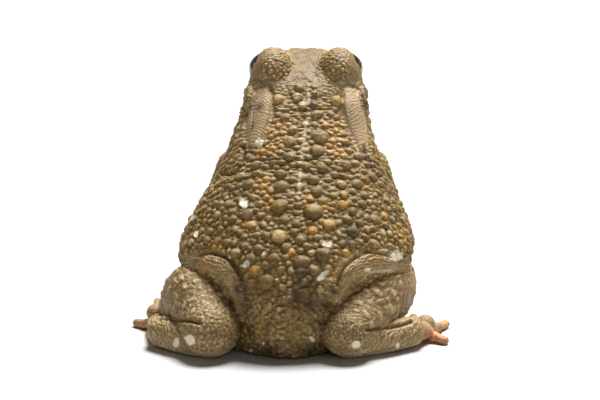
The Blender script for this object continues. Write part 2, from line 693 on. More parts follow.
def all_pieces():
    """The whole animal in overlapping pieces, each named for its region."""
    core_pieces = [trunk_shape(), head_shape()]
    for side in (1, -1):
        core_pieces += lids(side) + [lip(side, 1.3), lip(side, -1.4)]
        core_pieces.append(ellipsoid("shoulder", (1.0 + side * 15.5, 50.0, 50.0), (8.5, 9.5, 11.0)))
    marks = [(piece.name.split(".")[0], points_of(piece)) for piece in core_pieces]
    core = grown_together("core", core_pieces, CORE_VOXEL, CORE_ROUNDS)
    surface = tree(core)
    extra = []
    for side, limb in ((1, RIGHT), (-1, LEFT)):
        for make in (thigh, shank, tarsus, foot, upper_arm, forearm, hand):
            extra += [(make.__name__, piece) for piece in make(limb)]
        extra.append(("thigh", thigh_fold(side, surface)))
        extra.append(("gland", gland(side, surface)))
        cut(core, eye_opening(side))
    marks += [(name, points_of(piece)) for name, piece in extra]
    return [core] + [piece for _, piece in extra], marks


def points_of(obj):
    points = np.empty(len(obj.data.vertices) * 3)
    obj.data.vertices.foreach_get("co", points)
    return points.reshape(-1, 3) / MM


def regions_of(skin, marks):
    """For each region a soft mask over the skin, 1 where the region's own piece is nearest."""
    names = sorted({name for name, _ in marks})
    owner, found = [], KDTree(sum(len(points) for _, points in marks))
    for name, points in marks:
        for point in points:
            found.insert(point, len(owner))
            owner.append(names.index(name))
    found.balance()
    nearest = np.array([owner[found.find(point)[1]] for point in skin.co])
    return {name: skin.soft((nearest == i).astype(float), 6) for i, name in enumerate(names)}


def bump(values, middle, width):
    return np.exp(-(((values - middle) / width) ** 2))


def ramp(values, low, high):
    """0 below low, 1 above high, smooth between them."""
    t = np.clip((values - low) / (high - low), 0, 1)
    return t * t * (3 - 2 * t)


def hashed(cells, seed):
    """Four random numbers for each cell of a grid."""
    key = cells[:, 0] * 73856093 ^ cells[:, 1] * 19349663 ^ cells[:, 2] * 83492791 ^ seed * 2654435761
    out = []
    for step in range(4):
        key = (key ^ (key >> 13)) * 1274126177 + step * 668265263
        key &= 0xFFFFFFFF
        out.append(((key ^ (key >> 16)) & 0xFFFF) / 65535)
    return np.stack(out, axis=1)


def cobbles(points, size, seed):
    """Cells of a jittered grid: how far each point is inside its cell, and the cell's random number."""
    home = np.floor(points / size).astype(np.int64)
    first, second = np.full(len(points), 9.0), np.full(len(points), 9.0)
    chance = np.zeros(len(points))
    for step in product((-1, 0, 1), repeat=3):
        cells = home + np.array(step)
        numbers = hashed(cells, seed)
        middle = (cells + 0.1 + 0.8 * numbers[:, :3]) * size
        gap = np.linalg.norm(points - middle, axis=1) / size
        nearer = gap < first
        second = np.where(nearer, first, np.minimum(second, gap))
        chance = np.where(nearer, numbers[:, 3], chance)
        first = np.where(nearer, gap, first)
    return second - first, chance


def drift(points, size, seed):
    """Smooth noise from -1 to 1 with features of a size."""
    scaled = points / size
    home = np.floor(scaled).astype(np.int64)
    t = scaled - home
    t = t * t * (3 - 2 * t)
    total = np.zeros(len(points))
    for step in product((0, 1), repeat=3):
        weight = np.ones(len(points))
        for axis in range(3):
            weight *= t[:, axis] if step[axis] else 1 - t[:, axis]
        total += weight * hashed(home + np.array(step), seed)[:, 0]
    return total * 2 - 1


def wobble(points, size, seed):
    """Smooth noise along each axis."""
    return np.stack([drift(points, size, seed + axis) for axis in range(3)], axis=1)


def ridges(phase):
    """Parallel ridges, one to each unit of the phase: 1 on their tops, 0 between them."""
    return 0.5 + 0.5 * np.cos(2 * math.pi * phase)


class Warts:
    """Domes on the skin: the height each point gets, and the tint of the dome it is on."""

    def __init__(self, skin):
        self.skin = skin
        self.rise = np.zeros(skin.count)
        self.share = np.zeros(skin.count)
        self.tone = np.zeros(skin.count)
        self.orange = np.zeros(skin.count)
        self.placed = []

    def add(self, centre, normal, radius, height, tone, orange=0.0, way=None, stretch=1.0, power=0.6):
        """Adds one dome of a half width; a stretched one is longer along its way."""
        skin = self.skin
        index = skin.near(centre, radius * stretch * 1.35)
        index = index[skin.normal[index] @ np.array(normal) > 0.25]
        offset = skin.bent[index] - skin.bent[skin.kd.find(centre)[1]]
        square = (offset**2).sum(axis=1)
        if way is not None:
            along = offset @ np.array(way)
            square += along**2 * (1 / stretch**2 - 1)
        inside = np.clip(1 - square / radius**2, 0, 1)
        dome = height * inside**power
        higher = dome > self.rise[index]
        index, dome, inside = index[higher], dome[higher], inside[higher]
        self.rise[index] = dome
        self.share[index] = inside**0.7
        self.tone[index] = tone
        self.orange[index] = orange
        self.placed.append((Vector(centre), radius * math.sqrt(stretch)))

    def scatter(self, caps, ratio, stretch, ways, spice, random):
        """Fills the free skin with domes, the large ones first; spice is the share of orange ones."""
        skin = self.skin
        order = random.permutation(skin.count)
        for radius, often in CLASSES:
            taken = np.zeros(skin.count, dtype=bool)
            for centre, other in self.placed:
                taken[skin.near(centre, (other + radius) * PACKING)] = True
            tries = order[(caps >= radius * 0.9)[order] & ~taken[order]]
            tries = tries[random.random(len(tries)) < often]
            for i in tries:
                if taken[i]:
                    continue
                size = radius * random.uniform(0.84, 1.14)
                long = stretch[i] * random.uniform(0.9, 1.25)
                self.add(
                    skin.co[i],
                    skin.normal[i],
                    size / math.sqrt(long),
                    size * ratio[i] * random.uniform(0.75, 1.2),
                    random.normal(0.1 if radius < 0.9 else 0.0, 0.28),
                    orange=random.uniform(0.4, 1.0) if random.random() < spice[i] else 0.0,
                    way=ways[i],
                    stretch=long,
                    power=random.uniform(0.48, 0.8),
                )
                taken[skin.near(skin.co[i], radius * 2 * PACKING)] = True


def axis_of(limb, start, end):
    a, b = Vector(limb[start]), Vector(limb[end])
    return np.array((b - a).normalized())


def pixel_patch(skin, across, down, radius):
    """A soft round patch about the point seen at a pixel; the radius is in pixels."""
    seen = skin.seen_at(across, down)
    patch = np.zeros(skin.count)
    if seen:
        span = radius * PIXEL * 0.9
        index = skin.near(seen[0], span * 2)
        offset = np.linalg.norm(skin.co[index] - np.array(seen[0]), axis=1)
        patch[index] = np.exp(-((offset / span) ** 2))
    return patch


def crease(skin, places, width):
    """How near each point is to a line over the skin, 1 on it, 0 away from it."""
    seen = [skin.seen_at(*place) for place in places]
    rows = spline([tuple(each[0]) for each in seen if each], 12)
    return near_line(skin, rows, width)


def near_line(skin, rows, width):
    best = np.full(skin.count, 9.0)
    for point in rows:
        index = skin.near(point, width * 2.5)
        gap = np.linalg.norm(skin.co[index] - np.array(point), axis=1)
        best[index] = np.minimum(best[index], gap)
    return np.exp(-((best / width) ** 2))


def head_frame(points):
    """Points in the head's own frame: along, out and up."""
    offset = points - np.array(HEAD_AT)
    c, s = math.cos(HEAD_PITCH), math.sin(HEAD_PITCH)
    along = offset[:, 1] * c + offset[:, 2] * s
    rise = offset[:, 2] * c - offset[:, 1] * s
    return along, offset[:, 0], rise


def mouth(skin):
    """How near each point is to the line between the lips."""
    right = lip_path(0, 0, 10)
    path = [(a, -o, u) for a, o, u in right] + [(SNOUT + 0.3, 0.0, MOUTH_UP)] + right[::-1]
    return near_line(skin, [tuple(head_point(*p)) for p in spline(path, 3)], 0.42)


def eye_rim(along, rise):
    """The swelling, the groove below it and the pale rim round an eye's opening."""
    c, s = math.cos(OPENING_TILT), math.sin(OPENING_TILT)
    a, u = along - OPENING_AT[0], rise - OPENING_AT[2]
    a, u = a * c + u * s, u * c - a * s
    rim = np.sqrt((a / RIM_RADII[0]) ** 2 + (u / RIM_RADII[1]) ** 2)
    below = ramp(-u, -1, 1)
    groove = bump(rim, 1.42, 0.1) * below
    return 0.32 * bump(rim, 1.12, 0.12) - 0.3 * groove, 0.5 * groove, 0.8 * bump(rim, 1.04, 0.1) * below


def shape_head(skin, m):
    """The mouth, nostrils, lids and eardrums: displacement in millimetres, and the masks of
    dark openings, pale rims and eardrums."""
    along, out, rise = m.along, m.out, m.rise
    dark = mouth(skin)
    moved = -0.75 * dark
    rims, drums = np.zeros(skin.count), np.zeros(skin.count)
    for side in (1, -1):
        hole = np.hypot(along - NOSTRIL_AT[0], out - side * NOSTRIL_AT[1]) + 3 * (rise < 0)
        moved += 0.35 * bump(hole, 1.3, 0.45) - 1.1 * bump(hole, 0, 0.65)
        dark = np.maximum(dark, bump(hole, 0, 0.72))
        beside = (out * side > 11) & (np.abs(along) < 9)
        swelling, groove, rim = eye_rim(along, rise)
        moved += np.where(beside, swelling, 0)
        rims = np.maximum(rims, np.where(beside, rim, 0))
        dark = np.maximum(dark, np.where(beside, groove, 0))
        drum = np.hypot((along - DRUM_AT[0]) / DRUM_RADII[0], (rise - DRUM_AT[1]) / DRUM_RADII[1])
        beside = out * side > 12
        inner = np.where(beside, 1 - ramp(drum, 0.82, 0.98), 0)
        moved += np.where(beside, 0.6 * bump(drum, 1.12, 0.13), 0)
        moved -= inner * (0.45 - 0.25 * bump(drum, 0, 0.5))
        drums = np.maximum(drums, inner)
    return moved, dark, rims, drums


def region_of_back(skin, regions):
    """Masks over the trunk, and over its belly side and breast."""
    trunk = regions["trunk_shape"] + regions["shoulder"]
    down = ramp(-skin.normal[:, 2], 0.1, 0.6)
    ahead = ramp(skin.normal[:, 1], 0.1, 0.55)
    low = ramp(-skin.co[:, 2], -9.0, -3.0) * ramp(skin.normal[:, 1], -0.6, 0.2)
    down *= ramp(skin.co[:, 1], 4, 14) * (1 - ramp(np.abs(skin.co[:, 0]), 25, 32))
    belly = np.clip(trunk, 0, 1) * np.maximum(np.maximum(down, ahead), low)
    return np.clip(trunk, 0, 1), belly


def nearness_to_heels(skin):
    """1 at each shank's heel, where the grains are fine beads, and 0 further along the shank."""
    heel = np.zeros(skin.count)
    for limb in (RIGHT, LEFT):
        gap = np.linalg.norm(skin.co - np.array(limb["heel"]), axis=1)
        heel = np.maximum(heel, 1 - ramp(gap, 9, 15))
    return heel


def masks_of(skin, marks):
    """Soft masks from 0 to 1 over the skin, and its places in the head's own frame."""
    regions = regions_of(skin, marks)
    plain = ("thigh", "shank", "tarsus", "forearm", "gland")
    m = SimpleNamespace(**{name: regions[name] for name in plain})
    m.trunk, belly = region_of_back(skin, regions)
    m.along, m.out, m.rise = head_frame(skin.co)
    m.side_of = np.abs(m.out)
    y, z = skin.co.T[1:]

    # The head and the glands behind it
    head = sum(regions[name] for name in ("head_shape", "dome", "brow", "cheek", "lower_lid", "lip"))
    m.head = np.clip(head, 0, 1)
    dome = regions["dome"] * ramp(m.rise, 2, 6)
    m.lid = np.clip(dome + 0.6 * regions["brow"], 0, 1) * ramp(-m.along, -8, -2)
    m.beads = dome * (1 - ramp(m.side_of, 12.5, 15.0)) * (1 - ramp(m.along, 1.0, 5.0))
    throat = m.head * ramp(-(m.rise + 3.5 + MOUTH_SLOPE * (19 - m.along)), -1.0, 1.5)
    m.crown = m.head * ramp(m.rise, 0, 4) * (1 - ramp(m.side_of, 3.2, 6.5)) * (1 - m.lid * 0.8)
    m.edge = 4 * m.gland * (1 - m.gland)
    m.cushion = ramp(skin.soft(m.gland, 8) + 0.22 * drift(skin.co, 2.2, 72), 0.3, 0.85)
    m.gland_along = behind_gland_front(m.side_of, y, z)
    m.gland_front = 1 - ramp(m.gland_along, 0.0, 6.5)

    # The limbs, and the pale underside
    m.legs = sum(regions[name] for name in ("thigh", "shank", "tarsus"))
    m.arms = regions["upper_arm"] + regions["forearm"]
    m.ends = regions["foot"] + regions["hand"]
    under = ramp(-skin.normal[:, 2], 0.35, 0.8)
    belly = np.clip(belly + throat + (m.legs + m.arms) * under, 0, 1)
    m.belly = ramp(belly + 0.22 * drift(skin.co, 2.4, 71), 0.3, 0.8)
    m.heel = nearness_to_heels(skin)
    m.strip = m.thigh * ramp(skin.normal @ -np.array(AHEAD), 0.0, 0.3)
    m.outer = ramp(np.abs(skin.normal[:, 0]), 0.74, 0.93) * ramp(z, 6, 12) * (1 - ramp(z, 30, 36))
    m.outer *= np.clip(m.trunk + m.shank, 0, 1)

    # Parts of the back, from the nape to the seat
    m.flank = ramp(m.side_of, 15, 30)
    m.nape = m.trunk * ramp(z, 58, 70)
    m.upper = np.clip(m.trunk * ramp(z, 40, 50), 0, 1)
    m.seat = m.trunk * (1 - ramp(z, 14, 26)) * (1 - ramp(y, 8, 16))
    return m


def behind_gland_front(side_of, y, z):
    """How far each point is behind the front of the parotoid gland, along the gland."""
    front = np.array((GLAND_FRONT[1], *head_point(GLAND_FRONT[0], 0, GLAND_FRONT[2]).yz))
    back_out = 18.7
    way = np.array((back_out, *GLAND_BACK[1:])) - front
    return (np.stack((side_of, y, z), axis=1) - front) @ way / np.linalg.norm(way)


def lumps_of(skin):
    """How far each point is inside its own large cobble, stretched along the shank."""
    right = skin.co[:, :1] > 0
    way = np.where(right, axis_of(RIGHT, "knee", "heel"), axis_of(LEFT, "knee", "heel"))
    along = (skin.bent * way).sum(axis=1, keepdims=True)
    return cobbles(skin.bent + 0.6 * wobble(skin.co, 3.0, 81) - 0.5 * along * way, 2.0, 9)[0]


def strip_phase(skin, side):
    """How far each point is seen below the middle of the thigh's strip, in pixels."""
    places = sorted(THIGH_FOLDS[side])
    across, down = skin.pixel.T
    return down - np.interp(across, [p[0] for p in places], [p[1] for p in places])


def wart_ways(skin, m):
    """Which way the stretched warts lie: across the upper back, along the limbs."""
    ways = np.zeros((skin.count, 3))
    ways[:, 0] = 1
    for limb in (RIGHT, LEFT):
        here = (skin.co[:, 0] * limb["side"] > 0)[:, None]
        for mask, start, end in (
            (m.shank, "knee", "heel"),
            (m.thigh, "hip", "knee"),
            (m.forearm, "elbow", "wrist"),
        ):
            ways += here * mask[:, None] * (axis_of(limb, start, end) * 5)
    ways -= skin.normal * (ways * skin.normal).sum(axis=1, keepdims=True)
    ways /= np.maximum(np.linalg.norm(ways, axis=1, keepdims=True), 1e-6)
    return ways


def warts_of(skin, m):
    """The warts and long lumps that the photo shows, and smaller warts scattered between them."""
    # Largest wart that each place may carry, and its height as a share of its radius
    caps = m.trunk * (1.75 - 0.4 * m.flank - 0.3 * m.upper) - 0.5 * m.nape
    caps += (m.head - m.crown) * (0.5 - 0.4 * m.lid) + 0.56 * m.beads + m.crown * 0.2 + m.arms * 0.75
    caps += m.shank * (0.1 + 0.5 * m.heel) + m.thigh * 0.5 + m.tarsus * 0.4
    caps = np.where(m.cushion > 0.4, 0.3, caps) * (1 - ramp(m.belly, 0.3, 0.6))
    caps *= 1 - ramp(m.ends, 0.3, 0.6)
    caps = caps * (1 - 0.5 * m.seat) + 0.25 * drift(skin.co, 5.0, 3) * (caps > 0.5)
    ratio = m.trunk * (0.58 - 0.1 * m.flank) + m.head * 0.6 + m.legs * 0.42 + m.arms * 0.42 + m.ends * 0.3
    ratio = np.clip(ratio, 0.3, 0.62)
    spice = 0.01 + 0.35 * m.beads
    stretch = 1 + 0.35 * m.upper + 0.5 * np.clip(m.thigh + m.forearm, 0, 1)

    random = np.random.default_rng(SEED)
    warts = Warts(skin)
    pixel = PIXEL * (DISTANCE - 20) / DISTANCE
    for across, down, width, tint in LANDMARKS:
        seen = skin.seen_at(across, down)
        if seen:
            size = width * pixel / 2
            tone = LANDMARK_TONES[tint] + random.normal(0, 0.2)
            orange = 1.0 if tint == 1 else 0.0
            warts.add(seen[0], seen[1], size, size * 0.62, tone, orange, ACROSS, 1.12)
    for across, down, length, width, tilt in STREAKS:
        seen = skin.seen_at(across, down)
        if seen:
            angle = math.radians(tilt)
            way = ACROSS * math.cos(angle) + UPWARD * math.sin(angle)
            way = (way - seen[1] * way.dot(seen[1])).normalized()
            size = width * pixel * 0.66
            warts.add(seen[0], seen[1], size, size * 0.34, 0.3, 0.0, way, 0.8 * length / width, 1.1)
    warts.scatter(caps, ratio, stretch, wart_ways(skin, m), spice, random)
    return warts


def grain_of(skin, m, warts):
    """Warts with small granules between them, longer across on the upper back, flat on the belly:
    their height, how far up a bump each point is, its tone, and the granules alone."""
    inside, chance = cobbles(skin.bent, 0.86, 5)
    wide_inside, wide_chance = cobbles(skin.bent * np.array((0.74, 1.0, 1.0)), 0.78, 6)
    wide = m.upper + 0.3 * drift(skin.co, 2.0, 8) > 0.5
    inside, chance = np.where(wide, wide_inside, inside), np.where(wide, wide_chance, chance)
    small = ramp(inside, 0.0, 0.55) * (0.5 + 0.5 * chance)
    knee = np.clip(m.shank - m.heel, 0, 1)
    depth = 0.2 * m.trunk + (0.2 - 0.1 * knee) * m.legs + 0.15 * m.arms + (0.16 - 0.1 * m.lid) * m.head
    depth += 0.08 * m.ends + 0.2 * m.strip + 0.14 * np.clip(m.heel + m.tarsus, 0, 1) * m.legs
    depth *= (1 - 0.4 * m.seat) * (1 - 0.2 * m.crown) * (1 - 0.35 * m.belly) * (1 - 0.75 * m.cushion)
    granule = small * depth
    free = warts.rise < granule
    height = np.where(free, granule, warts.rise + 0.4 * granule)
    share = np.where(free, 0.16 + 0.46 * small, np.maximum(warts.share, 0.1 + 0.3 * small))
    tone = np.where(free, (chance - 0.5) * 0.4, warts.tone)
    tone = tone + 0.7 * drift(skin.co, 5.5, 25) + 0.35 * drift(skin.bent, 1.8, 26)
    tone -= 0.45 * m.trunk * (1 - m.flank) * bump(skin.co[:, 2], 36, 14)
    share = share * (1 - 0.6 * knee) + 0.6 * knee * (0.5 + 0.3 * warts.share)

    # Softened, apart from the beads of the lids and the grain of the legs
    height *= 1 + 0.4 * ramp(m.side_of, 22, 30) * m.trunk
    crisp = 0.8 * np.clip(m.beads + 0.5 * m.heel * m.legs + 0.8 * m.tarsus + 0.6 * m.strip, 0, 1)
    height = skin.soft(height, 2) * (1 - crisp) + height * crisp
    share = skin.soft(share, 1)

    # Soft lumps all over the shanks, and crumpled ones under the rump
    lump = ramp(lumps_of(skin), 0.0, 0.85)
    shin = np.clip(m.shank, 0, 1) * (1 - 0.75 * m.heel)
    height += 0.55 * lump * shin
    share = np.clip(share + 0.45 * (lump - 0.45) * shin, 0, 1)
    lump = ramp(cobbles(skin.bent + 0.9 * wobble(skin.co, 3.0, 82), 2.3, 12)[0], 0.0, 0.9)
    height += 0.8 * lump * m.seat
    share = np.clip(share * (1 - 0.5 * m.seat) + 0.5 * m.seat * (0.25 + 0.6 * lump), 0, 1)
    return height, share, tone, small


def folds_of(skin, m):
    """Fine parallel ridges: height, how far they show in the colour, where they run, their phase."""
    x, y, z = skin.co.T
    strip_at = np.where(x > 0, strip_phase(skin, 1), strip_phase(skin, -1))
    uneven = 0.4 + 0.6 * ramp(drift(skin.co, 1.8, 66), -0.5, 0.5)
    gland_phase = (m.gland_along + 0.5 * m.side_of) / 1.25 + 0.9 * drift(skin.co, 3.2, 65)
    tarsus_phase = (m.side_of * 0.9 - z * 0.6) / 1.3 + 0.7 * drift(skin.co, 2.0, 64)
    return (
        (0.1, 0.5, m.cushion, gland_phase),
        (0.12, 0.3, np.clip(m.nape + 0.3 * m.upper, 0, 1), (y + z) * 0.7 / 1.3),
        (0.34, 0.8, m.strip, strip_at / 3.4 + 0.7 * drift(skin.co, 1.5, 63)),
        (0.3, 0.8, uneven * m.tarsus, tarsus_phase),
        (0.12, 0.35, m.outer, y / 1.4),
        (0.14, 0.35, m.crown, (0.5 * m.along + m.side_of) / 1.3),
    )


def fold_skin(skin, m, share, small):
    """How far the ridges move the skin, and the shares with the ridges in them."""
    bend = 0.5 * drift(skin.co, 2.6, 61) + 0.2 * drift(skin.co, 0.9, 62)
    moved = np.zeros(skin.count)
    for deep, shown, mask, phase in folds_of(skin, m):
        top = ridges(phase + bend)
        moved += deep * mask * (top - 0.5)
        share = share * (1 - shown * mask) + shown * mask * (0.2 + 0.7 * top)
    share = share * (1 - 0.4 * m.cushion) + 0.4 * m.cushion * 0.75
    share = share * (1 - 0.6 * m.crown) + 0.6 * m.crown * (0.15 + 0.4 * small)
    share = np.clip(share + 0.3 * m.strip + 0.14 * m.tarsus + 0.1 * m.seat, 0, 1)
    return moved, np.maximum(share, 0.42 * m.ends)


def crease_skin(skin):
    """How far the creases sink the skin, and where they are."""
    moved, creased = np.zeros(skin.count), np.zeros(skin.count)
    for deep, width, places in CREASES:
        line = crease(skin, places, width)
        moved -= deep * line
        creased = np.maximum(creased, line * min(1, deep * 1.6))
    return moved, creased


def unevenness(skin, m):
    """Slow swells and hollows of the glands, lids, back, seat and crown."""
    moved = -(0.75 + 0.5 * m.gland_front) * m.gland - 0.5 * m.strip
    moved += 0.9 * ramp(m.side_of, 10.5, 14.0) * bump(m.along, -4.6, 3.2) * bump(m.rise, 4.6, 4.2)
    moved += 0.28 * drift(skin.co, 5.0, 21) * np.clip(m.trunk + m.legs, 0, 1)
    moved += 0.6 * drift(skin.co, 9.0, 22) * m.trunk * (1 - ramp(skin.co[:, 2], 20, 32))
    moved += 0.34 * drift(skin.bent, 2.3, 24) * np.clip(0.8 * m.seat + 0.5 * m.crown, 0, 1)
    ridge = 0.35 * bump(m.out, 0, 4.5) * (1 - ramp(m.along, 2, 8))
    return moved + m.crown * (0.3 * drift(skin.co, 1.8, 23) + ridge)


def moved_points(skin, m, height):
    """The skin's points pushed out to their height, level on the floor, smooth round the glands."""
    band = np.clip(3 * skin.soft(m.edge, 16) + 0.8 * m.strip, 0, 1)[:, None]
    smooth = np.stack([skin.soft(each, 36) for each in skin.co.T], axis=1)
    level = np.clip(skin.co[:, 2] / 1.2, 0, 1)
    place = skin.co + (smooth - skin.co) * band + skin.normal * (height * level)[:, None]
    place[:, 2] = np.maximum(place[:, 2], 0.0)
    return place


def orange_and_black(skin, m, warts, dark, creased):
    """Masks of the orange-brown and of the dark patches."""
    orange = 0.55 * m.beads * ramp(drift(skin.co, 1.3, 92), -0.2, 0.5)
    orange = np.maximum(orange, warts.orange * 0.85)
    patchy = 0.4 + 0.6 * ramp(drift(skin.bent, 1.6, 19), -0.75, 0.1)
    for spot in ORANGE:
        orange = np.maximum(orange, 0.95 * pixel_patch(skin, *spot) * patchy)
    black = np.maximum(dark, 0.5 * creased)
    for spot in DARK:
        black = np.maximum(black, pixel_patch(skin, *spot) * (0.4 + 0.6 * patchy))
    mottle = 0.12 + 0.38 * ramp(drift(skin.bent, 1.4, 33), 0.0, 0.6)
    black = np.maximum(black, m.crown * mottle)
    black = np.maximum(black, 0.4 * m.seat * ramp(drift(skin.bent, 3.2, 34), 0.1, 0.6))
    black = np.maximum(black, 0.25 * m.edge * (m.side_of > 17.5) * (1 - m.gland_front))
    return orange, black


def casts(skin, m, rims):
    """Masks of the paler skin, of the olive skin, and of the toes' orange-pink undersides."""
    pale = 0.7 * m.cushion + 0.6 * m.crown
    pale += (m.head - m.crown) * (0.35 + 0.45 * m.lid) * (1 - 0.45 * m.beads)
    pale = np.clip(pale + rims + 0.25 * m.nape, 0, 1)
    pale = np.maximum(pale, 0.7 * m.ends)
    pale = np.maximum(pale, m.legs * (0.45 - 0.25 * m.strip))
    low = 0.65 * m.flank + 0.85 * (1 - ramp(skin.co[:, 2], 36, 64))
    olive = np.clip(m.trunk * low + 0.3 * m.strip, 0, 1)
    olive *= (0.75 + 0.25 * drift(skin.co, 4.0, 91)) * (1 - 0.6 * m.seat)
    tips = m.ends * (0.1 + 0.9 * ramp(-skin.normal[:, 2], 0.15, 0.7))
    for spot in SOLES:
        tips = np.maximum(tips, m.ends * np.clip(1.9 * pixel_patch(skin, *spot), 0, 1))
    return pale, olive, tips


def skin_object():
    """The whole skin, with warts, folds and the masks that its material reads."""
    pieces, marks = all_pieces()
    obj = grown_together("toad_skin", pieces, SKIN_VOXEL, SKIN_ROUNDS)
    keep_largest(obj)
    skin = Skin(obj)
    m = masks_of(skin, marks)
    warts = warts_of(skin, m)
    height, share, tone, small = grain_of(skin, m, warts)
    features, dark, rims, drum = shape_head(skin, m)
    folded, share = fold_skin(skin, m, share, small)
    sunk, creased = crease_skin(skin)
    middle = crease(skin, MIDLINE, 0.5)
    flecks = white_flecks(skin)
    height *= (1 - 0.6 * m.cushion) * (1 - drum) * (1 - 0.7 * creased)
    height = height * (1 - 0.55 * middle) + 0.1 * middle
    height *= 1 - 0.6 * flecks
    place = moved_points(skin, m, height + features + folded + sunk + unevenness(skin, m))

    orange, black = orange_and_black(skin, m, warts, dark, creased)
    pale, olive, tips = casts(skin, m, rims)
    line = middle * ramp(drift(skin.co, 4.0, 31) + 0.5 * drift(skin.co, 0.9, 32), -1.0, 0.3)
    mesh = obj.data
    mesh.vertices.foreach_set("co", (place * MM).ravel())
    write_masks(mesh, "wart", share, tone * 0.5 + 0.5, orange)
    write_masks(mesh, "mark", flecks, black, pale)
    write_masks(mesh, "zone", m.belly, tips, drum)
    write_masks(mesh, "cast", olive, line, m.cushion)
    mesh.shade_smooth()
    mesh.update()
    return obj


def white_flecks(skin):
    """Irregular white spots, each laid over the skin where the photo has it."""
    best = np.zeros(skin.count)
    plane = np.pad(skin.pixel, ((0, 0), (0, 1)))
    ragged = 0.2 * drift(plane, 5.0, 17) + 0.1 * drift(plane, 2.4, 18)
    for across, down, wide, tall, tilt in FLECKS:
        seen = skin.seen_at(across, down)
        if seen is None:
            continue
        index = skin.near(seen[0], 1.92 * PIXEL * max(wide, tall))
        x, y = (skin.pixel[index] - np.array((across, down))).T
        c, s = math.cos(math.radians(tilt)), math.sin(math.radians(tilt))
        gap = np.sqrt(((x * c - y * s) / wide) ** 2 + ((x * s + y * c) / tall) ** 2)
        best[index] = np.maximum(best[index], 1 - ramp(gap + ragged[index], 0.72, 1.08))
    return best


def write_masks(mesh, name, *values):
    """Three masks in one colour attribute."""
    layer = mesh.attributes.new(name, "FLOAT_COLOR", "POINT")
    data = np.ones((len(mesh.vertices), 4), dtype=np.float32)
    for i, each in enumerate(values):
        data[:, i] = np.clip(each, 0, 1)
    layer.data.foreach_set("color", data.ravel())


def keep_largest(obj):
    """Deletes every loose scrap of the skin."""
    bm = bmesh.new()
    bm.from_mesh(obj.data)
    bm.verts.ensure_lookup_table()
    label = [-1] * len(bm.verts)
    sizes = []
    for first in bm.verts:
        if label[first.index] >= 0:
            continue
        mark, stack = len(sizes), [first]
        label[first.index] = mark
        sizes.append(1)
        while stack:
            for edge in stack.pop().link_edges:
                for vert in edge.verts:
                    if label[vert.index] < 0:
                        label[vert.index] = mark
                        sizes[mark] += 1
                        stack.append(vert)
    best = sizes.index(max(sizes))
    bmesh.ops.delete(bm, geom=[v for v in bm.verts if label[v.index] != best], context="VERTS")
    bm.to_mesh(obj.data)
    bm.free()


class Graph:
    """Adds shader nodes and links them in one call."""

    def __init__(self, name):
        self.material = bpy.data.materials.new(name)
        self.material.use_nodes = True
        self.tree = self.material.node_tree
        self.shader = self.tree.nodes["Principled BSDF"]

    def feed(self, socket, value):
        if isinstance(value, bpy.types.NodeSocket):
            self.tree.links.new(value, socket)
        else:
            socket.default_value = value

    def add(self, kind, inputs, **settings):
        made = self.tree.nodes.new("ShaderNode" + kind)
        for key, value in settings.items():
            setattr(made, key, value)
        for key, value in inputs.items():
            self.feed(made.inputs[key], value)
        return made

    def mix(self, share, a, b, how="MIX"):
        made = self.add("Mix", {0: share, 6: a, 7: b}, data_type="RGBA", blend_type=how)
        return made.outputs[2]

    def times(self, a, b):
        return self.add("Math", {0: a, 1: b}, operation="MULTIPLY").outputs[0]

    def shade(self, inputs):
        for key, value in inputs.items():
            self.feed(self.shader.inputs[key], value)

    def remap(self, value, low, high, to_low=0.0, to_high=1.0):
        inputs = {"Value": value, "From Min": low, "From Max": high, "To Min": to_low, "To Max": to_high}
        return self.add("MapRange", inputs, interpolation_type="SMOOTHSTEP").outputs[0]

    def masks(self, name):
        """The three masks of a colour attribute."""
        layer = self.add("Attribute", {}, attribute_name=name)
        split = self.add("SeparateColor", {"Color": layer.outputs["Color"]})
        return split.outputs[0], split.outputs[1], split.outputs[2]

    def grey(self, value):
        return self.add("CombineColor", {0: value, 1: value, 2: value}).outputs[0]

    def noise(self, place, scale, detail=3.0, rough=0.55):
        inputs = {"Vector": place, "Scale": scale, "Detail": detail, "Roughness": rough}
        return self.add("TexNoise", inputs).outputs[0]


def colour(*rgb):
    return (*rgb, 1.0)


